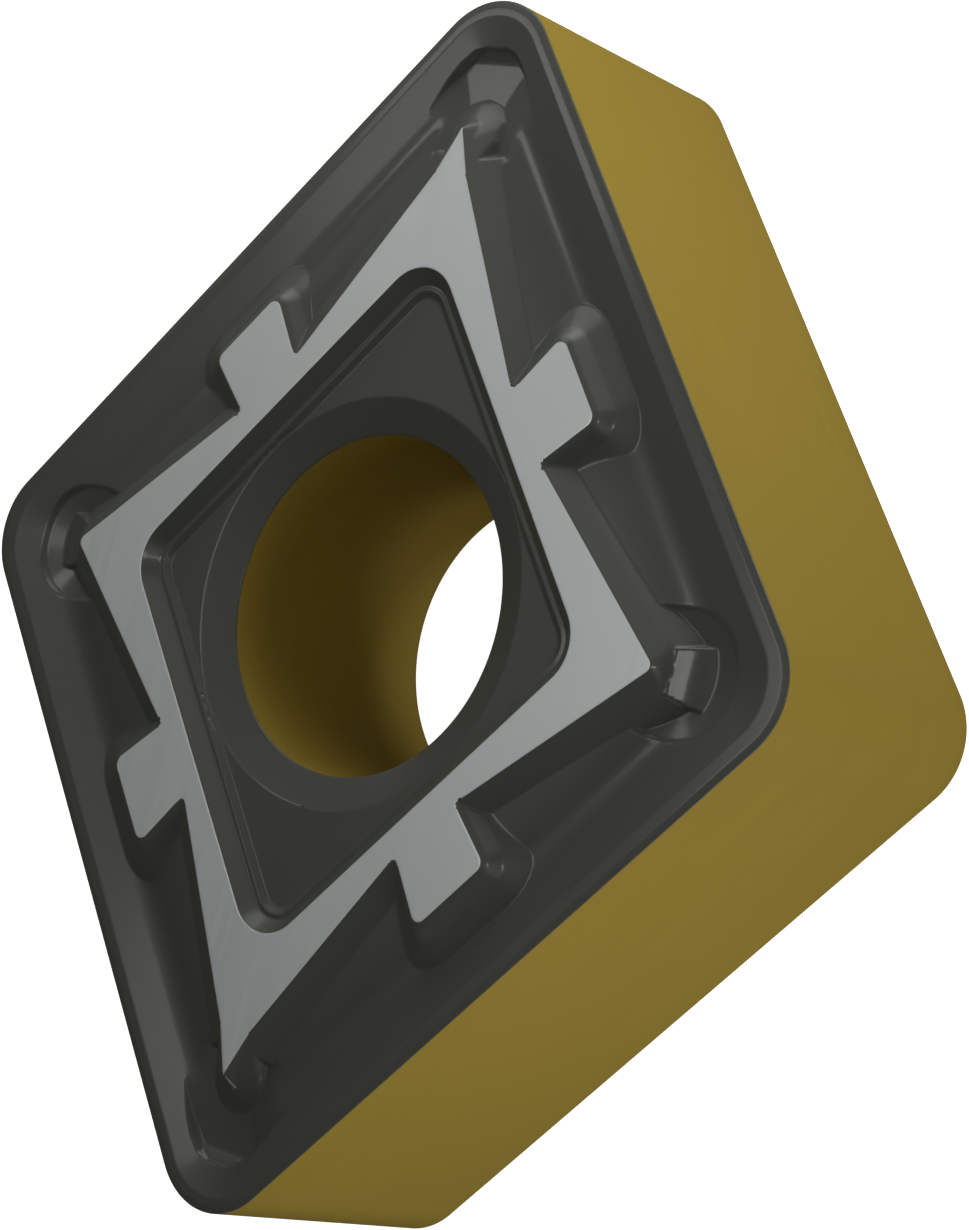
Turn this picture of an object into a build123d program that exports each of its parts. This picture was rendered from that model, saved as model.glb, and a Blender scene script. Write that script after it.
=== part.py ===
from build123d import *
import math
import os

# A rhombic carbide cutting insert, 80 degrees, lying on its flat back.
# Millimetres. Origin on the bore axis at the back face, +Z out of the ground top,
# +Y along the long diagonal and +X along the short one.
# Insets are measured inwards from the cutting edge, drops downwards from the ground top,
# and backs inwards from the sharp corner that the rounded corner replaces.

# Blank
nose_angle = 80.0
inscribed_circle = 12.7
nose_radius = 1.2
top_height = 4.84
land_drop = 0.22
hone_width = 0.11
hone_depth = 0.02

# Chip groove
land_at_blunt = 0.32
land_at_nose = 0.22
rake_width = 0.82
groove_depth = 0.165
groove_radius = 1.0
groove_sink = 0.001
fillet_start = 0.45
fillet_end = 0.75
ramp_slope = 14.0
crest_radius = 3.4

# Ground plateau: places along a side run from the point nearest to the bore to the nose
wing_nose_back = 2.916
wing_blunt_back = 2.436
wing_blunt_round = 0.12
nose_notch_along = 1.20
nose_notch_inset = 2.477
blunt_notch_along = -0.12
blunt_notch_inset = 2.43
notch_round = 0.13
notch_fill = 0.3
tab_inset = 1.374
tab_start = 0.002
tab_end = 1.46
tab_round = 0.15
tab_root_inset = 3.25
tab_root_start = -0.076
tab_root_end = 1.02
rim_bevel_width = 0.09
rim_bevel_depth = 0.04
wing_overlap = 1.0
middle_round = 0.05

# Walls of the island, slopes in degrees from flat
root_drop = 0.74
wall_slope = 31.5
wing_foot_drop = 0.17
wing_foot_slope = 40.0
blunt_ramp_back = 2.199
blunt_ramp_slope = 48.0
tab_slope = 40.0
tab_foot_drop = 0.186
tab_foot_slope = 25.0
tab_root_drop = 0.49
web_slope = 36.0
spur_slope = 62.0
spur_back = 2.689
spur_length = 0.70
spur_width = 0.60
sharp_round = 0.01

# Scoops in the corners of the groove
blunt_scoop_back = 2.239
blunt_scoop_radius = 0.97
blunt_scoop_drop = 0.33
blunt_scoop_step = 0.05
blunt_scoop_step_slope = 40.0
blunt_scoop_slope = 13.0
nose_scoop_outlines = [
    (0.42, [(0.36, 2.80), (0.38, 2.38), (0.52, 1.96), (0.40, 1.68), (0.15, 1.60)]),
    (0.33, [(1.20, 2.85), (1.05, 2.38), (0.76, 1.86), (0.45, 1.50), (0.15, 1.41)]),
    (0.22, [(1.28, 3.05), (1.18, 2.33), (0.92, 1.78), (0.55, 1.33), (0.20, 1.20)]),
    (-0.06, [(1.40, 3.36), (1.35, 2.28), (1.10, 1.63), (0.70, 1.13), (0.25, 0.93)]),
]

# Pocket round the bore, countersink and bore
pocket_inset = 2.855
pocket_corner = 0.72
pocket_wall_width = 0.225
pocket_ledge_drop = 0.205
pocket_ledge_width = 0.105
pocket_step_width = 0.075
pocket_floor_drop = 0.256
sink_width = 0.53
sink_depth = 0.241
bore_radius = 2.58
cut_clearance = 1.0

half_nose = math.radians(nose_angle / 2)
half_width = inscribed_circle / 2
blunt_corner = half_width / math.cos(half_nose)
nose_corner = half_width / math.sin(half_nose)
land_height = top_height - land_drop
edge_height = land_height - hone_depth
valley_height = land_height - groove_depth
root_height = top_height - root_drop
bevel_slope = math.degrees(math.atan(rim_bevel_depth / rim_bevel_width))


def on_side(along, inset):
    """A point by its place along the side in the first quadrant and its inset."""
    out = half_width - inset
    x = out * math.cos(half_nose) - along * math.sin(half_nose)
    y = out * math.sin(half_nose) + along * math.cos(half_nose)
    return (x, y)


def diamond(at_blunt, at_nose):
    """Corners of a diamond set in from the cutting edges by two distances."""
    x = (half_width - at_blunt) / math.cos(half_nose)
    y = (half_width - at_nose) / math.sin(half_nose)
    return [(x, 0), (0, y), (-x, 0), (0, -y)]


def rounded(points, radius, height):
    """A flat face with these corners rounded, at this height."""
    face = make_face(Polyline(*points, close=True))
    if radius > 0:
        face = fillet(face.vertices(), radius)
    return Pos(0, 0, height) * face.faces()[0]


def grown(points, distance):
    """The same convex outline with every side moved outwards."""
    turn = sum(a[0] * b[1] - b[0] * a[1] for a, b in zip(points, points[1:] + points[:1]))
    side = 1 if turn > 0 else -1
    lines = []
    for a, b in zip(points, points[1:] + points[:1]):
        length = math.dist(a, b)
        normal = (side * (b[1] - a[1]) / length, side * (a[0] - b[0]) / length)
        lines.append((normal, normal[0] * a[0] + normal[1] * a[1] + distance))
    corners = []
    for (n, c), (m, d) in zip(lines[-1:] + lines[:-1], lines):
        cross = n[0] * m[1] - n[1] * m[0]
        corners.append(((c * m[1] - d * n[1]) / cross, (n[0] * d - m[0] * c) / cross))
    return corners


def four(solid):
    """The solid and its images in the two planes of symmetry."""
    half = solid + mirror(solid, Plane.YZ)
    return half + mirror(half, Plane.XZ)


def blank():
    """The rounded diamond with its honed edge and flat top land."""
    outline = diamond(0, 0)
    flank = extrude(rounded(outline, nose_radius, 0), edge_height)
    hone_top = rounded(diamond(hone_width, hone_width), nose_radius - hone_width, land_height)
    hone = loft([rounded(outline, nose_radius, edge_height), hone_top], ruled=True)
    return flank + hone


def groove_plane(start, along):
    """A section plane across the groove, X inwards and Y up from the valley line."""
    return Plane(
        origin=(start.X, start.Y, valley_height),
        x_dir=Vector(-along.Y, along.X),
        z_dir=along,
    )


def valley_line():
    """The bottom line of the groove in the first quadrant, from blunt to nose corner."""
    valley = grown(diamond(land_at_blunt, land_at_nose), -rake_width)
    blunt, nose = Vector(*valley[0]), Vector(*valley[1])
    return blunt, nose, (nose - blunt).normalized()


def under_ramp():
    """All that lies below one ramp, which curves over into the flat crest."""
    blunt, nose, along = valley_line()
    slope = math.radians(ramp_slope)
    turn_at = groove_depth / math.tan(slope)
    tangent = crest_radius * math.tan(slope / 2)
    first = (turn_at - tangent * math.cos(slope), groove_depth - tangent * math.sin(slope))
    last = (turn_at + tangent, groove_depth)
    middle = (
        last[0] - crest_radius * math.sin(slope / 2),
        last[1] - crest_radius * (1 - math.cos(slope / 2)),
    )
    bottom = root_height - valley_height
    section = make_face([
        Polyline((0, 0), first),
        ThreePointArc(first, middle, last),
        Polyline(last, (inscribed_circle, last[1]), (inscribed_circle, bottom), (0, bottom), (0, 0)),
    ])
    start = blunt - along * inscribed_circle
    return extrude(groove_plane(start, along) * section, 3 * inscribed_circle)


def chip_groove(solid):
    """The blank with the rake cut in behind its land and the ramps rising behind that."""
    land = diamond(land_at_blunt, land_at_nose)
    land_corner = nose_radius - land_at_nose
    opening = rounded(land, land_corner, land_height)
    floor = rounded(grown(land, -rake_width), land_corner - rake_width, valley_height)
    side = under_ramp()
    half = side & mirror(side, Plane.YZ)
    return solid - loft([floor, opening], ruled=True) + (half & mirror(half, Plane.XZ))


def groove_fillet():
    """The rounded bottom of the groove along the side in the first quadrant."""
    blunt, nose, along = valley_line()
    rake = math.atan(groove_depth / rake_width)
    ramp = math.radians(ramp_slope)
    reach = groove_radius * math.tan((rake + ramp) / 2)
    outer = (-reach * math.cos(rake), reach * math.sin(rake) - groove_sink)
    inner = (reach * math.cos(ramp), reach * math.sin(ramp) - groove_sink)
    middle_turn = (ramp - rake) / 2
    middle = (
        outer[0] + groove_radius * (math.sin(rake) + math.sin(middle_turn)),
        outer[1] + groove_radius * (math.cos(rake) - math.cos(middle_turn)),
    )
    section = make_face([
        ThreePointArc(outer, middle, inner),
        Polyline(inner, (inner[0], -groove_depth), (outer[0], -groove_depth), outer),
    ])
    start = blunt + along * (fillet_start / abs(along.Y))
    length = (nose - blunt).length - (fillet_start + fillet_end) / abs(along.Y)
    return extrude(groove_plane(start, along) * section, length)


def island_block(points, radius, stages):
    """A convex part of the island, its sides sloping down from the ground top in stages."""
    block = None
    top = top_height
    for bottom, slope in stages:
        spread = (top - bottom) / math.tan(math.radians(slope))
        upper = rounded(points, radius, top)
        points, radius = grown(points, spread), radius + spread
        stage = loft([rounded(points, radius, bottom), upper], ruled=True)
        block = stage if block is None else block + stage
        top = bottom
    return block


def notch_web(corner, first, second):
    """Fills the inner corner of a notch, between two sides, so that its bottom is round."""
    corner = Vector(*corner)
    ahead = [(Vector(*end) - corner).normalized() for end in (first, second)]
    middle = (ahead[0] + ahead[1]).normalized()
    half_angle = math.radians(ahead[0].get_angle(middle))
    centre = corner + middle * (notch_round / math.sin(half_angle))
    reach = notch_round / math.tan(half_angle)
    quarter = (math.pi / 2 - half_angle) / 2
    side = 1 if ahead[0].cross(middle).Z > 0 else -1
    arc = [corner + ahead[0] * reach]
    for turn in (-side * quarter, side * quarter):
        spoke = middle.rotate(Axis.Z, math.degrees(turn))
        arc.append(centre - spoke * (notch_round / math.cos(quarter)))
    arc.append(corner + ahead[1] * reach)
    inner = corner - middle * notch_fill
    stages = [(top_height - rim_bevel_depth, bevel_slope), (root_height, web_slope)]
    web = None
    for a, b in zip(arc, arc[1:]):
        piece = island_block([(a.X, a.Y), (b.X, b.Y), (inner.X, inner.Y)], sharp_round, stages)
        web = piece if web is None else web + piece
    return web


def blunt_wing(notch, tip):
    """The wing of the island that points to the blunt corner on +X, with its ramped end."""
    x, y = notch
    foot_height = top_height - wing_foot_drop
    inner_x, inner_y = x - wing_overlap, y - wing_overlap
    outline = [(x, y), (inner_x, inner_y), (inner_x, -inner_y), (x, -y), tip]
    stages = [(foot_height, wall_slope), (root_height, wing_foot_slope)]
    ramp_x = blunt_corner - blunt_ramp_back
    ramp_reach = (foot_height - root_height) / math.tan(math.radians(blunt_ramp_slope))
    keep = Polyline(
        (0, root_height),
        (ramp_x + ramp_reach, root_height),
        (ramp_x, foot_height),
        (ramp_x, top_height),
        (0, top_height),
        close=True,
    )
    keep = extrude(make_face(Plane.XZ * keep), half_width, both=True)
    return island_block(outline, wing_blunt_round, stages) & keep


def nose_wing(notch, tip):
    """The long pointed wing of the island towards the nose on +Y."""
    x, y = notch
    inner_x, inner_y = x - wing_overlap / 2, y - wing_overlap
    outline = [(x, y), tip, (-x, y), (-inner_x, inner_y), (inner_x, inner_y)]
    return island_block(outline, sharp_round, [(root_height, wall_slope)])


def tab(nose_notch, nose_tip, blunt_notch, blunt_tip):
    """The tab in the first quadrant with its bevelled rim and its two rounded notches."""
    outer, inner = on_side(tab_end, tab_inset), on_side(tab_start, tab_inset)
    roots = [on_side(tab_root_end, tab_root_inset), on_side(tab_root_start, tab_root_inset)]
    stages = [
        (top_height - rim_bevel_depth, bevel_slope),
        (top_height - tab_foot_drop, tab_slope),
        (top_height - tab_root_drop, tab_foot_slope),
    ]
    solid = island_block([inner, outer] + roots, tab_round, stages)
    solid += notch_web(nose_notch, nose_tip, outer)
    return solid + notch_web(blunt_notch, inner, blunt_tip)


def island():
    """The raised island: the middle, two nose wings, two blunt wings and four tabs."""
    nose_notch = on_side(nose_notch_along, nose_notch_inset)
    blunt_notch = on_side(blunt_notch_along, blunt_notch_inset)
    nose_tip = (0, nose_corner - wing_nose_back)
    blunt_tip = (blunt_corner - wing_blunt_back, 0)
    quarter = [blunt_notch, nose_notch]
    half = quarter + [(-x, y) for x, y in reversed(quarter)]
    middle = half + [(x, -y) for x, y in reversed(half)]
    whole = island_block(middle, middle_round, [(root_height, wall_slope)])
    wing = nose_wing(nose_notch, nose_tip)
    whole = whole + wing + mirror(wing, Plane.XZ)
    wing = blunt_wing(blunt_notch, blunt_tip)
    whole = whole + wing + mirror(wing, Plane.YZ)
    right_tab = tab(nose_notch, nose_tip, blunt_notch, blunt_tip)
    for solid in (right_tab, mirror(right_tab, Plane.YZ)):
        whole = whole + solid + mirror(solid, Plane.XZ)
    return whole


def nose_spur():
    """The sharp steep-sided point of the island between the two halves of a nose scoop."""
    tip_y = nose_corner - spur_back
    root_y = tip_y - spur_length
    half = spur_width / 2
    outline = [(half, root_y), (0, tip_y), (-half, root_y), (0, root_y - spur_length)]
    return island_block(outline, sharp_round, [(root_height, spur_slope)])


def blunt_scoop():
    """The shallow round scoop in the groove at the blunt corner on +X."""
    step_tangent = math.tan(math.radians(blunt_scoop_step_slope))
    rim_height = top_height - blunt_scoop_drop
    floor_radius = blunt_scoop_radius - blunt_scoop_step / step_tangent
    floor_height = rim_height - blunt_scoop_step
    dip = floor_radius * math.tan(math.radians(blunt_scoop_slope))
    profile = Polyline(
        (0, floor_height - dip),
        (floor_radius, floor_height),
        (blunt_scoop_radius + blunt_scoop_drop / step_tangent, top_height),
        (0, top_height),
        close=True,
    )
    centre = Pos(blunt_corner - blunt_scoop_back, 0, 0)
    return centre * revolve(make_face(Plane.XZ * profile), Axis.Z)


def nose_scoop():
    """The scoop round the nose tip on +Y, as outlines at four drops."""
    faces = []
    for drop, half in nose_scoop_outlines:
        right = [(x, nose_corner - back) for x, back in half]
        left = [(-x, y) for x, y in reversed(right)]
        faces.append(rounded(right + left, 0, top_height - drop))
    return loft(faces, ruled=True)


def centre_pocket():
    """The pocket, its ledge and floor, the countersink and the bore."""
    rim = diamond(pocket_inset, pocket_inset)
    ledge_height = top_height - pocket_ledge_drop
    floor_height = top_height - pocket_floor_drop
    ledge_end = pocket_wall_width + pocket_ledge_width
    levels = [
        (0, top_height),
        (pocket_wall_width, ledge_height),
        (ledge_end, ledge_height),
        (ledge_end + pocket_step_width, floor_height),
    ]
    faces = [rounded(grown(rim, -inset), pocket_corner - inset, height) for inset, height in levels]
    pocket = loft([faces[1], faces[0]], ruled=True)
    pocket += loft([faces[3], faces[2]], ruled=True)
    upright = (Align.CENTER, Align.CENTER, Align.MIN)
    sink = Cone(bore_radius, bore_radius + sink_width, sink_depth, align=upright)
    pocket += Pos(0, 0, floor_height - sink_depth) * sink
    return pocket + Cylinder(bore_radius, top_height + cut_clearance, align=upright)


body = chip_groove(blank()) + four(groove_fillet())
scoop = blunt_scoop()
body = body - scoop - mirror(scoop, Plane.YZ)
body += island()
scoop = nose_scoop()
spur = nose_spur()
body = body - scoop - mirror(scoop, Plane.XZ) + spur + mirror(spur, Plane.XZ)
body -= centre_pocket()
print("insert", "valid" if body.is_valid else "not valid", round(body.volume, 3), "mm3")

os.makedirs("parts", exist_ok=True)
export_step(body, "parts/insert.step")
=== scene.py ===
import bpy
import math
import numpy as np
from mathutils.geometry import delaunay_2d_cdt
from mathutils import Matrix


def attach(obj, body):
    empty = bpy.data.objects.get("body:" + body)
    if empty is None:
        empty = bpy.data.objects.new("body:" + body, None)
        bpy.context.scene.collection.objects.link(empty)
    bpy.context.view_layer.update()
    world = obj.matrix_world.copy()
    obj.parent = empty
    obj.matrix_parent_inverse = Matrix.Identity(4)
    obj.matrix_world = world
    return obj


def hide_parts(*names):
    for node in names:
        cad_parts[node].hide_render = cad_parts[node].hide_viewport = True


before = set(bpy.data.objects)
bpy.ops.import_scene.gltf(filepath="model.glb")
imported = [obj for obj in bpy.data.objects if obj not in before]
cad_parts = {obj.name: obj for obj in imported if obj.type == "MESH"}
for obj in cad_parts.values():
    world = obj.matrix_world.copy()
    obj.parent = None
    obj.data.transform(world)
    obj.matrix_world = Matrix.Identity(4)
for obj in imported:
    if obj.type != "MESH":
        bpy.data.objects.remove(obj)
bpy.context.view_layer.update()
print("frame loaded:", sorted(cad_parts))

mm = 0.001

# A rhombic carbide turning insert: dark coated chip groove, ground bare plateau, gold coated flanks.
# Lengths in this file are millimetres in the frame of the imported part, turned to metres once.
# The top is the same in its four quarters, so one quarter is shaped for x and y above zero and
# geometry nodes repeat it. An inset is measured inwards from the cutting edge. Slopes are degrees
# from flat, and an ease or round is the reach over which a crease is softened.

insert = {
    "blank": {
        "noseAngle": 80.0,
        "inscribedCircle": 12.7,
        "noseRadius": 1.2,
        "topHeight": 4.84,
        "landHeight": 4.62,
        "honeWidth": 0.11,
        "honeDepth": 0.02,
        "honeEase": 0.006,
        "edgeRound": 0.018,
        "backRound": 0.04,
        "boreRadius": 2.58,
        "boreHeight": 4.343,
        "sinkRadius": 3.11,
        "sinkEase": 0.012,
        "sinkMargin": 0.05,
    },
    "groove": {
        "landAtBlunt": 0.32,
        "landAtNose": 0.22,
        "cornerRadius": 0.98,
        "rakeWidth": 0.82,
        "rakeEase": 0.008,
        "depth": 0.165,
        "filletReach": 0.225,
        "rampSlope": 14.0,
        "crestReach": 0.42,
    },
    "plateau": {
        "noseTip": (0.0, 6.963),
        "noseTipRound": 0.02,
        "bluntTip": (5.853, 0.0),
        "bluntTipRound": 0.12,
        "noseNotch": (2.196, 3.409),
        "bluntNotch": (3.080, 2.428),
        "notchRound": 0.13,
        "middleRound": 0.05,
        "wingOverlap": 1.0,
        "wingSlope": 31.5,
        "rimBevel": (0.09, 0.444),  # how far it reaches, and its fall per length
        "rimEase": 0.012,
        "tab": [(3.811, 3.200), (2.873, 4.317), (1.719, 2.774), (2.424, 1.934)],
        "tabRound": 0.15,
        "tabSlope": 40.0,
        "tabFoot": 0.264,
        "tabFootSlope": 25.0,
        "tabFootEase": 0.012,
        "bluntFoot": 0.277,
        "bluntFootSlope": 40.0,
        "bluntFootEase": 0.02,
        "collar": (5.853, 0.9, 50.0),  # its place on X, its bulge per millimetre and its slope
        "collarReach": (0.3, 0.55),
        "collarEase": 0.04,
        "rampHeight": 4.64,
        "rampTurns": [(6.02, 33.0, 0.01), (6.31, 13.0, 0.18)],  # place on X, slope, rounding
        "rampHalfWidth": 0.33,
        "rampSideSlope": 65.0,
        "rampEnd": (7.00, 45.0),
        "spur": [(0.30, 6.49), (0.0, 7.19), (-0.30, 6.49), (0.0, 5.79)],
        "spurRound": 0.01,
        "spurSlope": 52.0,
        "spurFoot": [(0.53, 7.10), (0.47, 7.40), (0.28, 7.62), (0.0, 7.70), (-0.28, 7.62), (-0.47, 7.40),
                     (-0.53, 7.10), (-0.53, 5.8), (0.53, 5.8)],
        "spurFootRound": 0.05,
        "spurFootSlope": 60.0,
        "spurRoot": 6.93,
        "spurEase": ((6.95, 7.25), (0.001, 0.07)),  # at these two places on Y
        "footEase": 0.012,
    },
    "bluntScoop": {
        "centre": 6.05,
        "radius": 0.97,
        "rimHeight": 4.51,
        "stepWidth": 0.06,
        "stepSlope": 40.0,
        "stepEase": 0.012,
        "floorSlope": 13.0,
        "ease": 0.014,
    },
    "noseScoop": {
        "outline": [(0.60, 6.83), (0.86, 6.86), (1.07, 6.96), (1.16, 7.08), (1.08, 7.38), (0.80, 7.93),
                    (0.60, 8.22), (0.40, 8.42), (0.20, 8.49)],
        "cornerRound": 0.04,
        "floorHeight": 4.404,
        "rimHeight": 4.515,
        "stepSlopes": ((6.95, 32.0), (7.25, 60.0)),  # place on Y, slope
        "sideCrease": ((0.286, 7.503), (0.522, 7.992)),
        "sideSlope": 9.0,
        "sideEase": 0.005,
        "endWall": (8.30, 25.0),
        "ease": 0.02,
    },
    "pocket": {
        "inset": 2.855,
        "corner": 0.72,
        "profile": [(0.0, -0.92, 0.010), (0.222, 0.20, 0.012), (0.300, -0.72, 0.012), (0.400, 0.0, 0.015)],
    },
    "mesh": {
        "lineStep": 0.05,
        "arcStep": 0.04,
        "arcTurn": 0.15,  # radians a step may turn on a small arc
        "shortestStep": 0.004,
        "smallestArc": 0.002,
        "sharpCorner": 0.001,
        "arcGap": 0.01,  # least distance from the blunt tip's arc to the rim's next point
        "edgeRows": (0.002, 0.006, 0.012, 0.018),
        "finest": 0.024,
        "levels": (1, 2, 4, 8, 16),  # grid steps, in multiples of the finest
        "sag": 0.001,  # how far a triangle may stray from the surface
        "lineSamples": 4,  # places looked at along a line for each grid step
        "edgeClearance": 0.6,  # in grid steps
        "boreSteps": 40,
        "flankDrops": (0.0, 0.01, 0.04, 0.12, 0.6, 1.6, 2.8, 3.8, 4.45),
        "boreDrops": (0.0, 0.01, 0.04, 0.12, 0.8, 1.6, 2.4, 3.2, 4.0, 4.2),
        "backTurns": (0, 30, 60, 90),
        "weld": 0.0001,
        "seamWeld": 0.001,
        "bareDepth": 0.0014,  # what lies deeper below the plateau is coated
    },
}
blank, groove, plateau, bluntScoop, noseScoop, pocket, mesh = insert.values()
top = blank["topHeight"]
sharp = 1e-6  # a rounding too small to see
quarterTurn = math.pi / 2
coated, ground, gilt = 0, 1, 2
finishNames = ("Coated", "Ground", "Gilt")


def slopeOf(degrees):
    return math.tan(math.radians(degrees))


def sharpCorners(atBlunt, atNose):
    # corners on +X and +Y of a diamond set in from the cutting edges, before they are rounded
    half = blank["inscribedCircle"] / 2
    angle = math.radians(blank["noseAngle"] / 2)
    return (half - atBlunt) / math.cos(angle), (half - atNose) / math.sin(angle)


edgeCorners = sharpCorners(0, 0)
landCorners = sharpCorners(groove["landAtBlunt"], groove["landAtNose"])
pocketCorners = sharpCorners(pocket["inset"], pocket["inset"])


def diamondFrame(corners, radius):
    # the direction out of a diamond's side, and the centres of its rounded corners on X and on Y
    cornerX, cornerY = corners
    size = math.hypot(cornerX, cornerY)
    normalX, normalY = cornerY / size, cornerX / size
    return normalX, normalY, cornerX - radius / normalX, cornerY - radius / normalY


def insetFrom(x, y, corners, radius):
    # distance inwards from a diamond with rounded corners
    normalX, normalY, centreX, centreY = diamondFrame(corners, radius)
    inset = corners[0] * normalX - x * normalX - y * normalY
    byBlunt = normalX * y < normalY * (x - centreX)
    byNose = normalY * x < normalX * (y - centreY)
    inset = np.where(byBlunt, radius - np.hypot(x - centreX, y), inset)
    return np.where(byNose, radius - np.hypot(x, y - centreY), inset)


def bent(distance, turns):
    # height along a profile that changes slope at each (place, slope, half width of the rounding)
    height = np.zeros_like(distance)
    before = 0.0
    for place, slope, half in turns:
        past = distance - place
        eased = np.where(past < -half, 0.0, np.where(past > half, past, (past + half) ** 2 / (4 * half)))
        height = height + (slope - before) * eased
        before = slope
    return height


def shrunk(points, distance):
    # the same convex outline with every side moved inwards
    lines = []
    for (ax, ay), (bx, by) in zip(points, points[1:] + points[:1]):
        length = math.hypot(bx - ax, by - ay)
        normal = ((by - ay) / length, (ax - bx) / length)
        lines.append((normal, normal[0] * ax + normal[1] * ay - distance))
    corners = []
    for (n, c), (m, d) in zip(lines[-1:] + lines[:-1], lines):
        cross = n[0] * m[1] - n[1] * m[0]
        corners.append(((c * m[1] - d * n[1]) / cross, (n[0] * d - m[0] * c) / cross))
    return corners


def outsideOf(x, y, points, radius):
    # distance outwards from a convex outline, anticlockwise, with rounded corners
    points = shrunk(points, radius)
    nearest = np.full_like(x, np.inf)
    inside = np.ones_like(x, dtype=bool)
    for (ax, ay), (bx, by) in zip(points, points[1:] + points[:1]):
        dx, dy = bx - ax, by - ay
        along = np.clip(((x - ax) * dx + (y - ay) * dy) / (dx * dx + dy * dy), 0, 1)
        nearest = np.minimum(nearest, np.hypot(x - ax - along * dx, y - ay - along * dy))
        inside &= dx * (y - ay) - dy * (x - ax) >= 0
    return np.where(inside, -nearest, nearest) - radius


def upper(a, b, ease):
    # the higher of two surfaces, with a rounded valley where they meet
    overlap = np.maximum(ease - np.abs(a - b), 0)
    return np.maximum(a, b) + overlap ** 2 / (4 * ease)


def lower(a, b, ease):
    return -upper(-a, -b, ease)


def acrossY(points):
    return [(-x, y) for x, y in reversed(points)]


def acrossX(points):
    return [(x, -y) for x, y in reversed(points)]


def grooveHeight(x, y):
    # the honed edge, the flat land, the rake, the groove's round bottom, and the ramp up to the crest
    honeSlope = blank["honeDepth"] / blank["honeWidth"]
    hone = [(0.0, honeSlope, sharp), (blank["honeWidth"], 0.0, blank["honeEase"])]
    ramp = slopeOf(groove["rampSlope"])
    turns = [
        (0.0, -groove["depth"] / groove["rakeWidth"], groove["rakeEase"]),
        (groove["rakeWidth"], ramp, groove["filletReach"]),
        (groove["rakeWidth"] + groove["depth"] / ramp, 0.0, groove["crestReach"]),
    ]
    edge = insetFrom(x, y, edgeCorners, blank["noseRadius"])
    height = blank["landHeight"] - blank["honeDepth"] + bent(edge, hone)
    return height + bent(insetFrom(x, y, landCorners, groove["cornerRadius"]), turns)


def bluntScoopHeight(x, y):
    # a dish with a conical floor and a small step at the rim
    fromCentre = np.hypot(x - bluntScoop["centre"], y)
    floorSlope, stepSlope = slopeOf(bluntScoop["floorSlope"]), slopeOf(bluntScoop["stepSlope"])
    inner = bluntScoop["radius"] - bluntScoop["stepWidth"]
    low = bluntScoop["rimHeight"] - bluntScoop["stepWidth"] * stepSlope - inner * floorSlope
    step = [(inner, stepSlope - floorSlope, bluntScoop["stepEase"])]
    return low + floorSlope * fromCentre + bent(fromCentre, step)


def noseScoopHeight(x, y):
    # flat floor, side facets that rise to the rim, a straight end wall and a small step at the rim
    outline = noseScoop["outline"] + acrossY(noseScoop["outline"])
    rim = outsideOf(x, y, outline, noseScoop["cornerRound"])
    (ax, ay), (bx, by) = noseScoop["sideCrease"]
    beside = ((x - ax) * (by - ay) - (y - ay) * (bx - ax)) / math.hypot(bx - ax, by - ay)
    side = noseScoop["floorHeight"] + slopeOf(noseScoop["sideSlope"]) * beside
    endPlace, endSlope = noseScoop["endWall"]
    end = noseScoop["floorHeight"] + slopeOf(endSlope) * (y - endPlace)
    (rootPlace, rootSlope), (sidePlace, sideSlope) = noseScoop["stepSlopes"]
    share = np.clip((y - rootPlace) / (sidePlace - rootPlace), 0, 1)
    steepness = slopeOf(rootSlope) * (1 - share) + slopeOf(sideSlope) * share
    step = noseScoop["rimHeight"] + steepness * rim
    floor = upper(np.full_like(x, noseScoop["floorHeight"]), side, noseScoop["sideEase"])
    return upper(upper(floor, end, noseScoop["ease"]), step, noseScoop["ease"])


def spurHeight(x, y):
    # the wing's walls and the plateau's sharp tip, cut short all round by a steeper foot in the scoop
    noseX, noseY = plateau["noseNotch"]
    wing = [(noseX, noseY), plateau["noseTip"], (-noseX, noseY)]
    fromWing = outsideOf(x, y, wing, plateau["noseTipRound"])
    walls = top + bent(fromWing, [(0.0, -slopeOf(plateau["wingSlope"]), plateau["rimEase"])])
    fromSpur = outsideOf(x, y, plateau["spur"], plateau["spurRound"])
    spur = top + bent(fromSpur, [(0.0, -slopeOf(plateau["spurSlope"]), plateau["rimEase"])])
    steep = slopeOf(plateau["spurFootSlope"])
    beyond = outsideOf(x, y, plateau["spurFoot"], plateau["spurFootRound"])
    foot = noseScoop["floorHeight"] - steep * beyond
    root = noseScoop["floorHeight"] + steep * (plateau["spurRoot"] - y)
    foot = upper(foot, root, plateau["footEase"])
    return lower(np.maximum(walls, spur), foot, plateau["footEase"])


def bluntEnd(x, y, walls):
    # the blunt wing's walls, cut to a steep collar round its tip, with a curved ramp into the scoop
    turns = [(place, -slopeOf(slope), half) for place, slope, half in plateau["rampTurns"]]
    rampTop = plateau["rampHeight"] + bent(x, turns)
    place, bulge, slope = plateau["collar"]
    back, aside = plateau["collarReach"]
    collar = top + slopeOf(slope) * (place - x - bulge * y * y)
    collar = upper(collar, rampTop, plateau["footEase"])
    collar = np.where((y < aside) & (x > place - back), collar, np.inf)
    standing = lower(walls, collar, plateau["collarEase"])
    side = plateau["rampHeight"] + slopeOf(plateau["rampSideSlope"]) * (plateau["rampHalfWidth"] - y)
    endPlace, endSlope = plateau["rampEnd"]
    end = plateau["rampHeight"] - slopeOf(endSlope) * (x - endPlace)
    return np.maximum(standing, np.minimum(np.minimum(rampTop, side), end))


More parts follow.
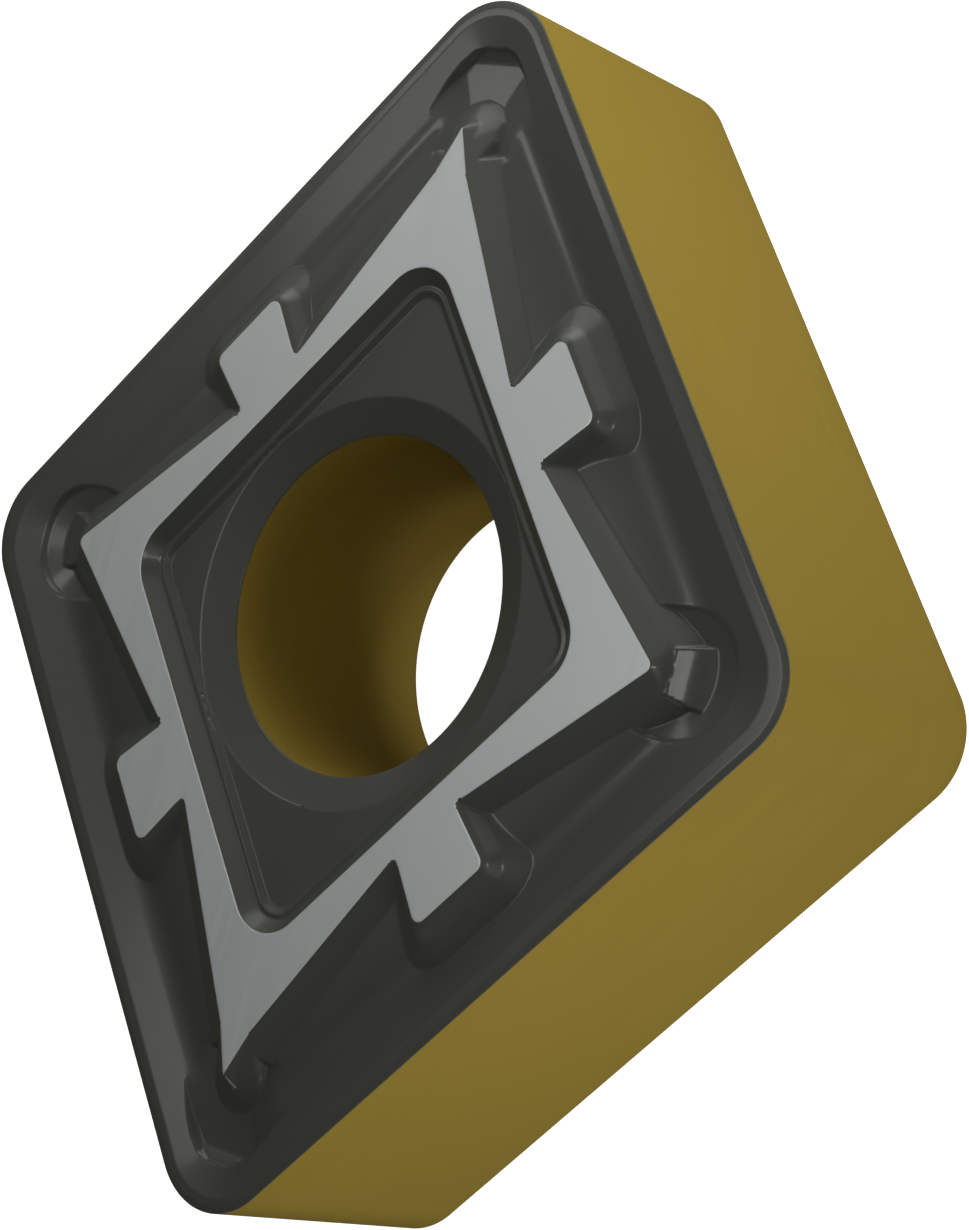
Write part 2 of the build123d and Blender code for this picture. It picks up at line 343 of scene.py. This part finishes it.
def wallProfiles():
    # how the plateau falls away outside a tab, a nose wing and a blunt wing
    ease = plateau["rimEase"]
    bevelEnd, bevelSlope = plateau["rimBevel"]
    tab = [
        (0.0, -bevelSlope, ease),
        (bevelEnd, -slopeOf(plateau["tabSlope"]), ease),
        (plateau["tabFoot"], -slopeOf(plateau["tabFootSlope"]), plateau["tabFootEase"]),
    ]
    wing = [(0.0, -slopeOf(plateau["wingSlope"]), ease)]
    foot = (plateau["bluntFoot"], -slopeOf(plateau["bluntFootSlope"]), plateau["bluntFootEase"])
    return tab, wing, wing + [foot]


def notchHeight(first, second, firstProfile, secondProfile):
    # fills the inner corner between two walls, given the distances from both, so that it is round
    radius = plateau["notchRound"]
    a, b = np.maximum(radius - first, 0), np.maximum(radius - second, 0)
    gap = radius - np.hypot(a, b)
    share = np.clip(0.5 + (second - first) / (2 * radius), 0, 1)
    height = top + share * bent(gap, firstProfile) + (1 - share) * bent(gap, secondProfile)
    return np.where((a > 0) & (b > 0) & (first > -radius) & (second > -radius), height, -np.inf)


def islandHeight(x, y):
    # the middle, a nose wing, a blunt wing with its ramped end, and a tab between two notches
    tabProfile, wingProfile, bluntProfile = wallProfiles()
    (noseX, noseY), (bluntX, bluntY) = plateau["noseNotch"], plateau["bluntNotch"]
    back = plateau["wingOverlap"]
    noseBack = [(back / 2 - noseX, noseY - back), (noseX - back / 2, noseY - back)]
    noseWing = [(noseX, noseY), plateau["noseTip"], (-noseX, noseY)] + noseBack
    bluntBack = [(bluntX - back, bluntY - back), (bluntX - back, back - bluntY)]
    bluntWing = [(bluntX, bluntY)] + bluntBack + [(bluntX, -bluntY), plateau["bluntTip"]]
    half = [(bluntX, bluntY), (noseX, noseY), (-noseX, noseY), (-bluntX, bluntY)]
    fromMiddle = outsideOf(x, y, half + acrossX(half), plateau["middleRound"])
    fromTab = outsideOf(x, y, plateau["tab"], plateau["tabRound"])
    fromNose = outsideOf(x, y, noseWing, plateau["noseTipRound"])
    fromBlunt = outsideOf(x, y, bluntWing, plateau["bluntTipRound"])
    heights = [
        top + bent(fromMiddle, wingProfile),
        top + bent(fromNose, wingProfile),
        bluntEnd(x, y, top + bent(fromBlunt, bluntProfile)),
        notchHeight(fromTab, fromNose, tabProfile, wingProfile),
        notchHeight(fromTab, fromBlunt, tabProfile, bluntProfile),
    ]
    height = top + bent(fromTab, tabProfile)
    for other in heights:
        height = upper(height, other, plateau["footEase"])
    return np.minimum(height, top)


def pocketHeight(x, y):
    # the stepped diamond pocket round the bore, and the countersink inside it
    profile = pocket["profile"]
    height = top + bent(insetFrom(x, y, pocketCorners, pocket["corner"]), profile)
    floor = top + float(bent(np.array([1.0]), profile)[0])
    radius = np.hypot(x, y)
    slope = (floor - blank["boreHeight"]) / (blank["sinkRadius"] - blank["boreRadius"])
    sink = floor + bent(blank["sinkRadius"] - radius, [(0.0, -slope, blank["sinkEase"])])
    return np.where(radius < blank["sinkRadius"] + blank["sinkMargin"], np.minimum(height, sink), height)


def rounded(distance, radius):
    # how far an edge that is rounded over to a wall at distance 0 lies below its surface
    near = np.clip(1 - distance / radius, 0, 1)
    return radius * (1 - np.sqrt(1 - near ** 2))


def dressedTop(x, y):
    # height of the whole top at points of the first quarter
    x, y = np.abs(x), np.abs(y)
    height = lower(grooveHeight(x, y), bluntScoopHeight(x, y), bluntScoop["ease"])
    height = upper(height, islandHeight(x, y), plateau["footEase"])
    height = lower(height, noseScoopHeight(x, y), noseScoop["ease"])
    spurEase = np.interp(y, *plateau["spurEase"])
    height = np.minimum(upper(height, spurHeight(x, y), spurEase), top)
    height = np.minimum(height, pocketHeight(x, y))
    height = height - rounded(insetFrom(x, y, edgeCorners, blank["noseRadius"]), blank["edgeRound"])
    return height - rounded(np.hypot(x, y) - blank["boreRadius"], blank["edgeRound"])


def arcLine(centre, radius, start, end, step):
    count = max(2, math.ceil(abs(end - start) * radius / step))
    turns = [start + (end - start) * k / count for k in range(count + 1)]
    return [(centre[0] + radius * math.cos(t), centre[1] + radius * math.sin(t)) for t in turns]


def straightLine(a, b):
    count = max(1, math.ceil(math.dist(a, b) / mesh["lineStep"]))
    return [(a[0] + (b[0] - a[0]) * k / count, a[1] + (b[1] - a[1]) * k / count) for k in range(count + 1)]


def diamondLine(corners, radius, inset):
    # one quarter of a rounded diamond, moved inwards, from its blunt corner to its nose
    normalX, normalY, centreX, centreY = diamondFrame(corners, radius)
    left = radius - inset
    if left <= mesh["smallestArc"]:
        return straightLine((corners[0] - inset / normalX, 0), (0, corners[1] - inset / normalY))
    turn = math.atan2(normalY, normalX)
    step = min(mesh["arcStep"], max(left * mesh["arcTurn"], mesh["shortestStep"]))
    first = arcLine((centreX, 0), left, 0, turn, step)
    last = arcLine((0, centreY), left, turn, quarterTurn, step)
    first[0], last[-1] = (first[0][0], 0.0), (0.0, last[-1][1])
    return first + straightLine(first[-1], last[0])[1:-1] + last


def roundedLine(corners, radii):
    # an open line with round corners
    path = [corners[0]]
    for k in range(1, len(corners) - 1):
        a, b, c = (np.array(p, dtype=float) for p in corners[k - 1:k + 2])
        u, v = (a - b) / np.linalg.norm(a - b), (c - b) / np.linalg.norm(c - b)
        half = math.acos(float(u @ v)) / 2
        reach = radii[k] / math.tan(half)
        centre = b + (u + v) / np.linalg.norm(u + v) * radii[k] / math.sin(half)
        p, q = b + u * reach - centre, b + v * reach - centre
        start = math.atan2(p[1], p[0])
        sweep = math.remainder(math.atan2(q[1], q[0]) - start, 2 * math.pi)
        arc = arcLine(centre, radii[k], start, start + sweep, radii[k] * mesh["arcTurn"])
        path += straightLine(path[-1], arc[0])[1:-1] + arc
    return path + straightLine(path[-1], corners[-1])[1:]


def crossing(p, q, r, s):
    # where the line through p and q meets the line through r and s
    (ax, ay), (bx, by) = np.subtract(q, p), np.subtract(s, r)
    share = (bx * (r[1] - p[1]) - by * (r[0] - p[0])) / (bx * ay - by * ax)
    return (p[0] + share * ax, p[1] + share * ay)


def plateauOutline():
    # the rim of the ground plateau in the first quarter, from the blunt tip to the spur's tip
    tab, tip = plateau["tab"], plateau["bluntTip"]
    noseCorner = crossing(plateau["noseNotch"], plateau["noseTip"], tab[1], tab[2])
    bluntCorner = crossing(plateau["bluntNotch"], tip, tab[0], tab[3])
    spurRoot, spurTip = plateau["spur"][:2]
    spurCorner = crossing(spurRoot, spurTip, plateau["noseNotch"], plateau["noseTip"])
    notch, outer = plateau["notchRound"], plateau["tabRound"]
    line = roundedLine(
        [tip, bluntCorner, tab[0], tab[1], noseCorner, spurCorner, spurTip],
        [0, notch, outer, outer, notch, mesh["sharpCorner"], 0],
    )
    # the half of the blunt tip's arc takes the place of the line's sharp start
    radius = plateau["bluntTipRound"]
    side = np.subtract(bluntCorner, tip) / math.dist(bluntCorner, tip)
    half = math.atan2(side[1], -side[0])
    arcEnd = side[1] * radius / math.tan(half)
    kept = [p for p in line if p[1] > arcEnd + mesh["arcGap"]]
    centre = (tip[0] - radius / math.sin(half), 0.0)
    return arcLine(centre, radius, 0.0, quarterTurn - half, radius * mesh["arcTurn"]) + kept


def featureLines():
    # lines that the top's triangles keep to, so that its edges and hollows come out clean
    insets = [0.0, *mesh["edgeRows"]]
    insets += [blank["honeWidth"] - blank["honeEase"], blank["honeWidth"] + blank["honeEase"]]
    outline, *lines = [diamondLine(edgeCorners, blank["noseRadius"], inset) for inset in insets]
    for shift in (-groove["rakeEase"], groove["rakeEase"]):
        lines.append(diamondLine(landCorners, groove["cornerRadius"], shift))
    lines.append(plateauOutline())
    for place, slope, half in pocket["profile"]:
        lines += [diamondLine(pocketCorners, pocket["corner"], place + shift) for shift in (-half, 0, half)]
    for shift in (blank["sinkEase"], -blank["sinkEase"]):
        lines.append(arcLine((0, 0), blank["sinkRadius"] + shift, 0, quarterTurn, mesh["arcStep"]))
    step = quarterTurn * blank["boreRadius"] / mesh["boreSteps"]
    reaches = (0, *mesh["edgeRows"])
    bore, *rings = [arcLine((0, 0), blank["boreRadius"] + r, 0, quarterTurn, step) for r in reaches]
    return outline, bore, lines + rings


def surfacePoints(lines):
    # grid points that lie close where the top bends and far apart where it is flat
    fine = mesh["finest"]
    columns, rows = int(edgeCorners[0] / fine) + 1, int(edgeCorners[1] / fine) + 1
    x, y = np.meshgrid(np.arange(columns) * fine, np.arange(rows) * fine)
    height = dressedTop(x, y)
    bend = np.zeros_like(height)
    for axis in (0, 1):
        bend = np.maximum(bend, np.abs(np.roll(height, 1, axis) + np.roll(height, -1, axis) - 2 * height))
    bend /= fine ** 2
    # no grid point on or right beside a line
    free = np.ones_like(bend, dtype=bool)
    for line in lines:
        for (ax, ay), (bx, by) in zip(line, line[1:]):
            count = int(math.dist((ax, ay), (bx, by)) / fine * mesh["lineSamples"])
            share = np.linspace(0, 1, max(2, count))
            i = np.rint((ay + (by - ay) * share) / fine).astype(int)
            j = np.rint((ax + (bx - ax) * share) / fine).astype(int)
            free[np.clip(i, 0, rows - 1), np.clip(j, 0, columns - 1)] = False
    clear = fine * mesh["edgeClearance"]
    inside = insetFrom(x, y, edgeCorners, blank["noseRadius"]) > clear
    inside &= np.hypot(x, y) > blank["boreRadius"] + clear
    # a coarser grid stays where a chord of twice its step is within the sag: chord squared x bend / 8
    kept = np.zeros_like(free)
    window = bend
    for level in mesh["levels"]:
        reach = max(level // 2, 1)
        for axis in (0, 1):
            beside = np.maximum(np.roll(window, reach, axis), np.roll(window, -reach, axis))
            window = np.maximum(window, beside)
        wanted = window * (2 * level * fine) ** 2 / 8 > mesh["sag"]
        if level == mesh["levels"][-1]:
            wanted = np.ones_like(wanted)
        kept[::level, ::level] |= wanted[::level, ::level]
    kept &= free & inside
    return list(zip(x[kept].tolist(), y[kept].tolist()))


def outwardAt(x, y):
    # the direction straight out of the flank at a point of the outline
    normalX, normalY, centreX, centreY = diamondFrame(edgeCorners, blank["noseRadius"])
    dx, dy = normalX, normalY
    if normalX * y < normalY * (x - centreX):
        dx, dy = x - centreX, y
    elif normalY * x < normalX * (y - centreY):
        dx, dy = x, y - centreY
    length = math.hypot(dx, dy)
    return dx / length, dy / length


def addFaces(quarter, points, faces, finish):
    start = len(quarter["points"])
    quarter["points"] += [tuple(p) for p in points]
    quarter["faces"] += [[start + k for k in face] for face in faces]
    quarter["finish"] += finish


def addWall(quarter, line, outward, levels, side):
    # a wall from the top's rim down and over a rounded edge to the back; side is 1 outside, -1 in the bore
    radius = blank["backRound"]
    rows = [[(x, y, z) for x, y in line] for z in levels]
    for degrees in mesh["backTurns"]:
        turn = math.radians(degrees)
        shift = side * radius * (1 - math.cos(turn))
        z = radius * (1 - math.sin(turn))
        rows.append([(x - dx * shift, y - dy * shift, z) for (x, y), (dx, dy) in zip(line, outward)])
    count = len(line)
    faces = []
    for i in range(len(rows) - 1):
        for a in range(i * count, i * count + count - 1):
            face = [a, a + count, a + count + 1, a + 1]
            faces.append(face if side > 0 else face[::-1])
    addFaces(quarter, [p for row in rows for p in row], faces, [gilt] * len(faces))
    return [(x, y) for x, y, z in rows[-1]]


def flatTriangles(lines, extra, hole):
    # triangles between the outline and the bore, with the lines as edges
    points, edges = [], []
    for line in lines:
        start = len(points)
        points += [tuple(p) for p in line]
        edges += [(start + k, start + k + 1) for k in range(len(line) - 1)]
    found = delaunay_2d_cdt(points + extra, edges, [], 0, mesh["weld"])
    flat = np.array([tuple(p) for p in found[0]])
    flat[np.abs(flat) < mesh["weld"]] = 0.0
    triangles = np.array(found[2])
    atBore = np.hypot(flat[:, 0], flat[:, 1])[triangles] < hole + mesh["weld"]
    return flat, triangles[~atBore.all(axis=1)]


def quarterInsert():
    # the top, the flank, the bore and the back of one quarter, with a finish for each face
    quarter = {"points": [], "faces": [], "finish": []}
    outline, bore, lines = featureLines()
    lines = [outline, bore] + lines
    flat, triangles = flatTriangles(lines, surfacePoints(lines), blank["boreRadius"])
    height = dressedTop(flat[:, 0], flat[:, 1])
    middle = flat[triangles].mean(axis=1)
    bare = dressedTop(middle[:, 0], middle[:, 1]) > top - mesh["bareDepth"]
    finish = [ground if b else coated for b in bare]
    addFaces(quarter, np.column_stack([flat, height]).tolist(), triangles.tolist(), finish)

    rim = blank["landHeight"] - blank["honeDepth"] - blank["edgeRound"]
    outward = [outwardAt(x, y) for x, y in outline]
    flankBack = addWall(quarter, outline, outward, [rim - drop for drop in mesh["flankDrops"]], 1)
    rim = blank["boreHeight"] - blank["edgeRound"]
    outward = [(x / blank["boreRadius"], y / blank["boreRadius"]) for x, y in bore]
    boreBack = addWall(quarter, bore, outward, [rim - drop for drop in mesh["boreDrops"]], -1)
    flat, triangles = flatTriangles([flankBack, boreBack], [], blank["boreRadius"] + blank["backRound"])
    backFaces = [face[::-1] for face in triangles.tolist()]
    addFaces(quarter, [(x, y, 0.0) for x, y in flat], backFaces, [gilt] * len(backFaces))
    return quarter


def addNode(tree, kind, links=(), **settings):
    # one node with its settings and socket values, and what its inputs are linked from
    node = tree.nodes.new(kind)
    for name, value in settings.items():
        if hasattr(node, name):
            setattr(node, name, value)
        else:
            node.inputs[name.replace("_", " ")].default_value = value
    for socket, source in links:
        tree.links.new(source, node.inputs[socket])
    return node


def socketOf(tree, name):
    return next(item.identifier for item in tree.interface.items_tree if item.name == name)


def fourQuarters():
    # a tree that repeats the quarter in both planes of symmetry, welds it and gives each face its finish
    tree = bpy.data.node_groups.new("four quarters", "GeometryNodeTree")
    tree.interface.new_socket("Geometry", in_out="INPUT", socket_type="NodeSocketGeometry")
    tree.interface.new_socket("Weld Distance", in_out="INPUT", socket_type="NodeSocketFloat")
    for name in finishNames:
        tree.interface.new_socket(name, in_out="INPUT", socket_type="NodeSocketMaterial")
    tree.interface.new_socket("Geometry", in_out="OUTPUT", socket_type="NodeSocketGeometry")
    start = addNode(tree, "NodeGroupInput")
    shape = start.outputs["Geometry"]
    for scale in ((-1, 1, 1), (1, -1, 1)):
        turned = addNode(tree, "GeometryNodeTransform", [("Geometry", shape)], Scale=scale)
        flipped = addNode(tree, "GeometryNodeFlipFaces", [("Mesh", turned.outputs[0])])
        both = addNode(tree, "GeometryNodeJoinGeometry",
                       [("Geometry", flipped.outputs[0]), ("Geometry", shape)])
        shape = both.outputs[0]
    welded = addNode(tree, "GeometryNodeMergeByDistance",
                     [("Geometry", shape), ("Distance", start.outputs["Weld Distance"])])
    smooth = addNode(tree, "GeometryNodeSetShadeSmooth", [("Geometry", welded.outputs[0])])
    real = addNode(tree, "GeometryNodeRealizeInstances", [("Geometry", smooth.outputs[0])])
    kind = addNode(tree, "GeometryNodeInputNamedAttribute", data_type="INT", Name="finish")
    shape = real.outputs[0]
    for number, name in enumerate(finishNames):
        chosen = addNode(tree, "FunctionNodeCompare", [(2, kind.outputs[0])],
                         data_type="INT", operation="EQUAL")
        chosen.inputs[3].default_value = number
        dressed = addNode(tree, "GeometryNodeSetMaterial",
                          [("Geometry", shape), ("Selection", chosen.outputs[0]),
                           ("Material", start.outputs[name])])
        shape = dressed.outputs[0]
    addNode(tree, "NodeGroupOutput", [("Geometry", shape)])
    return tree


def makeInsert(materials):
    quarter = quarterInsert()
    data = bpy.data.meshes.new("quarter")
    data.from_pydata([[c * mm for c in p] for p in quarter["points"]], [], quarter["faces"])
    for material in materials:
        data.materials.append(material)
    finish = data.attributes.new("finish", "INT", "FACE")
    finish.data.foreach_set("value", quarter["finish"])
    maker = bpy.data.objects.new("quarter", data)
    bpy.context.scene.collection.objects.link(maker)
    modifier = maker.modifiers.new("four quarters", "NODES")
    modifier.node_group = fourQuarters()
    modifier[socketOf(modifier.node_group, "Weld Distance")] = mesh["seamWeld"] * mm
    for name, material in zip(finishNames, materials):
        modifier[socketOf(modifier.node_group, name)] = material
    evaluated = maker.evaluated_get(bpy.context.evaluated_depsgraph_get())
    whole = bpy.data.meshes.new_from_object(evaluated)
    maker.modifiers.clear()
    bpy.data.objects.remove(maker)
    whole.attributes.remove(whole.attributes["finish"])
    piece = bpy.data.objects.new("cutting_insert", whole)
    bpy.context.scene.collection.objects.link(piece)
    triangles = sum(len(face.vertices) - 2 for face in whole.polygons)
    print("insert made:", len(whole.vertices), "points,", triangles, "triangles")
    return piece


def linear(hexColour):
    # sRGB hex to the linear colour that a shader takes
    parts = [int(hexColour[k:k + 2], 16) / 255 for k in (1, 3, 5)]
    curve = [c / 12.92 if c <= 0.04045 else ((c + 0.055) / 1.055) ** 2.4 for c in parts]
    return (*curve, 1.0)


def perMm(size):
    # texture scale, in turns per metre, for a pattern of this size in millimetres
    return 1 / (size * mm)


def newFinish(name):
    material = bpy.data.materials.new(name)
    material.use_nodes = True
    tree = material.node_tree
    tree.nodes.clear()
    place = addNode(tree, "ShaderNodeTexCoord").outputs["Object"]
    return material, tree, place


def addSurface(tree, look, pattern, share, **values):
    # the shader, with a colour that follows the share, and a roughness and relief that follow the pattern
    colour = addNode(tree, "ShaderNodeMix", [("Factor", share)], data_type="RGBA",
                     A=linear(look["low"]), B=linear(look["high"]))
    rough = addNode(tree, "ShaderNodeMapRange", [("Value", pattern)],
                    From_Min=0.3, From_Max=0.7,  # where nearly all of a noise's values lie
                    To_Min=look["roughness"] - look["spread"], To_Max=look["roughness"] + look["spread"])
    bump = addNode(tree, "ShaderNodeBump", [("Height", pattern)],
                   Strength=look["relief"], Distance=look["bump"] * mm)
    shader = addNode(tree, "ShaderNodeBsdfPrincipled",
                     [("Base Color", colour.outputs[2]), ("Roughness", rough.outputs[0]),
                      ("Normal", bump.outputs[0])], **values)
    addNode(tree, "ShaderNodeOutputMaterial", [("Surface", shader.outputs[0])])


# The grain of the coating is about 0.002 mm and is drawn at 0.06 mm, so that it shows at all.
darkLook = {
    "low": "#565750",
    "high": "#5c5e56",
    "specular": 0.40,
    "roughness": 0.42,
    "spread": 0.04,
    "gloss": 0.30,
    "glossRoughness": 0.13,
    "grain": 0.06,
    "cloud": 2.5,
    "relief": 0.5,
    "bump": 0.0003,
}


def darkCoating():
    # black alumina over a pressed and sintered surface: a satin olive black with a very fine even grain
    material, tree, place = newFinish("black alumina coating on sintered carbide")
    grain = addNode(tree, "ShaderNodeTexNoise", [("Vector", place)],
                    Scale=perMm(darkLook["grain"]), Detail=3.0)
    cloud = addNode(tree, "ShaderNodeTexNoise", [("Vector", place)],
                    Scale=perMm(darkLook["cloud"]), Detail=2.0)
    share = addNode(tree, "ShaderNodeMath", [(0, grain.outputs["Fac"]), (1, cloud.outputs["Fac"])],
                    operation="MULTIPLY")
    addSurface(tree, darkLook, grain.outputs["Fac"], share.outputs[0],
               Specular_IOR_Level=darkLook["specular"],
               Coat_Weight=darkLook["gloss"], Coat_Roughness=darkLook["glossRoughness"])
    return material


# Marks of a fine diamond wheel are about 0.01 mm wide and are drawn at 0.1 mm, so that they show.
groundLook = {
    "low": "#e2e5e6",
    "high": "#e8eaea",
    "metallic": 0.35,
    "roughness": 0.42,
    "spread": 0.04,
    "marks": 0.10,
    "markLength": 40,
    "markAngle": -20,
    "relief": 0.4,
    "bump": 0.0001,
}


def groundCarbide():
    # bare ground tungsten carbide: bright grey with hair-fine straight grinding marks
    material, tree, place = newFinish("ground bare tungsten carbide")
    turned = addNode(tree, "ShaderNodeMapping", [("Vector", place)],
                     Rotation=(0, 0, math.radians(groundLook["markAngle"])),
                     Scale=(1.0, 1 / groundLook["markLength"], 1.0))
    marks = addNode(tree, "ShaderNodeTexNoise", [("Vector", turned.outputs[0])],
                    Scale=perMm(groundLook["marks"]), Detail=4.0).outputs["Fac"]
    addSurface(tree, groundLook, marks, marks, Metallic=groundLook["metallic"])
    return material


# The hairlines of the ground sides are about 0.01 mm apart and are drawn at 0.1 mm, so that they show.
giltLook = {
    "low": "#b3983f",
    "high": "#bba145",
    "specular": 0.25,
    "roughness": 0.45,
    "spread": 0.05,
    "marks": 0.10,
    "markLength": 30,
    "relief": 0.4,
    "bump": 0.0003,
}


def goldCoating():
    # titanium nitride over ground flanks: a satin old gold with faint hairlines along the sides
    material, tree, place = newFinish("titanium nitride coating on ground carbide")
    along = 1 / giltLook["markLength"]
    drawn = addNode(tree, "ShaderNodeMapping", [("Vector", place)], Scale=(along, along, 1.0))
    marks = addNode(tree, "ShaderNodeTexNoise", [("Vector", drawn.outputs[0])],
                    Scale=perMm(giltLook["marks"]), Detail=4.0).outputs["Fac"]
    addSurface(tree, giltLook, marks, marks, Specular_IOR_Level=giltLook["specular"])
    return material


finishes = [darkCoating(), groundCarbide(), goldCoating()]
print("finishes made:", len(finishes))
piece = makeInsert(finishes)
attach(piece, "root")
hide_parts("insert")

studio = {
    "floorSize": 400.0,
    "floorColour": "#ffffff",
    "floorRoughness": 0.8,
    "floorGlow": 1.0,
    "ambient": 0.02,
    "aimHeight": 3.0,
}


def paleFloor():
    # a plain white floor that glows evenly, so that it stays pale under every light
    half = studio["floorSize"] * mm / 2
    data = bpy.data.meshes.new("floor")
    corners = [(-half, -half, 0), (half, -half, 0), (half, half, 0), (-half, half, 0)]
    data.from_pydata(corners, [], [(0, 1, 2, 3)])
    floor = bpy.data.objects.new("floor", data)
    bpy.context.scene.collection.objects.link(floor)
    material = bpy.data.materials.new("white paper")
    material.use_nodes = True
    shader = material.node_tree.nodes["Principled BSDF"]
    shader.inputs["Base Color"].default_value = linear(studio["floorColour"])
    shader.inputs["Roughness"].default_value = studio["floorRoughness"]
    shader.inputs["Emission Color"].default_value = linear(studio["floorColour"])
    shader.inputs["Emission Strength"].default_value = studio["floorGlow"]
    data.materials.append(material)
    floor.visible_diffuse = False
    floor.visible_glossy = False
    floor.visible_shadow = False


paleFloor()
print("floor laid")

# place and clip in millimetres, turn in degrees
camera = {
    "place": (33.064, -1.548, 40.568),
    "turn": (13.92858, 39.30204, 18.36894),
    "lens": 96.979,
    "sensor": 36.0,
    "shift": (0.04457, -0.00374),
    "clip": (1.0, 10000.0),
}


def placeCamera():
    data = bpy.data.cameras.new("camera")
    data.lens = camera["lens"]
    data.sensor_width = camera["sensor"]
    data.shift_x, data.shift_y = camera["shift"]
    data.clip_start, data.clip_end = [c * mm for c in camera["clip"]]
    item = bpy.data.objects.new("camera", data)
    item.location = [c * mm for c in camera["place"]]
    item.rotation_euler = [math.radians(a) for a in camera["turn"]]
    bpy.context.scene.collection.objects.link(item)
    bpy.context.scene.camera = item


placeCamera()

# azimuth and elevation in degrees, distance and size in millimetres, and the light's irradiance at the insert
lights = {
    "low key": (107, 19, 30, 24, 0.70),
    "rear low": (102, 8, 150, 90, 0.34),
    "front flank": (325, 4, 22, 10, 0.56),
    "rear flank": (50, 5, 22, 8, 0.46),
    "side flank": (40, -10, 150, 40, 0.40),
    "front under": (328, -17, 150, 40, 0.24),
    "top": (174, 70, 60, 19, 0.28),
    "left low": (147, 11, 22, 14, 0.08),
    "front low": (260, 1, 150, 40, 0.22),
    "front top": (339, 49, 60, 24, 0.08),
    "ramp glint": (4, 60, 60, 11, 0.24),
    "rear mid": (75, 15, 22, 9, 0.12),
    "rear top": (72, 39, 22, 9, 0.05),
    "nose top": (154, 47, 60, 9, 0.09),
}


def softbox(name, azimuth, elevation, distance, size, strength):
    # a round soft light that faces the insert and gives this irradiance there
    data = bpy.data.lights.new(name, "AREA")
    data.shape = "DISK"
    data.size = size * mm
    data.energy = math.pi * strength * (distance * mm) ** 2
    item = bpy.data.objects.new(name, data)
    a, e = math.radians(azimuth), math.radians(elevation)
    away = (math.cos(e) * math.cos(a), math.cos(e) * math.sin(a), math.sin(e))
    aim = (0, 0, studio["aimHeight"])
    item.location = [(away[k] * distance + aim[k]) * mm for k in range(3)]
    item.rotation_euler = (quarterTurn - e, 0, a + quarterTurn)
    bpy.context.scene.collection.objects.link(item)


for name, values in lights.items():
    softbox(name, *values)
world = bpy.data.worlds.new("studio")
world.use_nodes = True
world.node_tree.nodes["Background"].inputs["Color"].default_value = (1, 1, 1, 1)
world.node_tree.nodes["Background"].inputs["Strength"].default_value = studio["ambient"]
bpy.context.scene.world = world
bpy.context.scene.view_settings.view_transform = "Standard"
print("studio set:", len(lights), "lights")
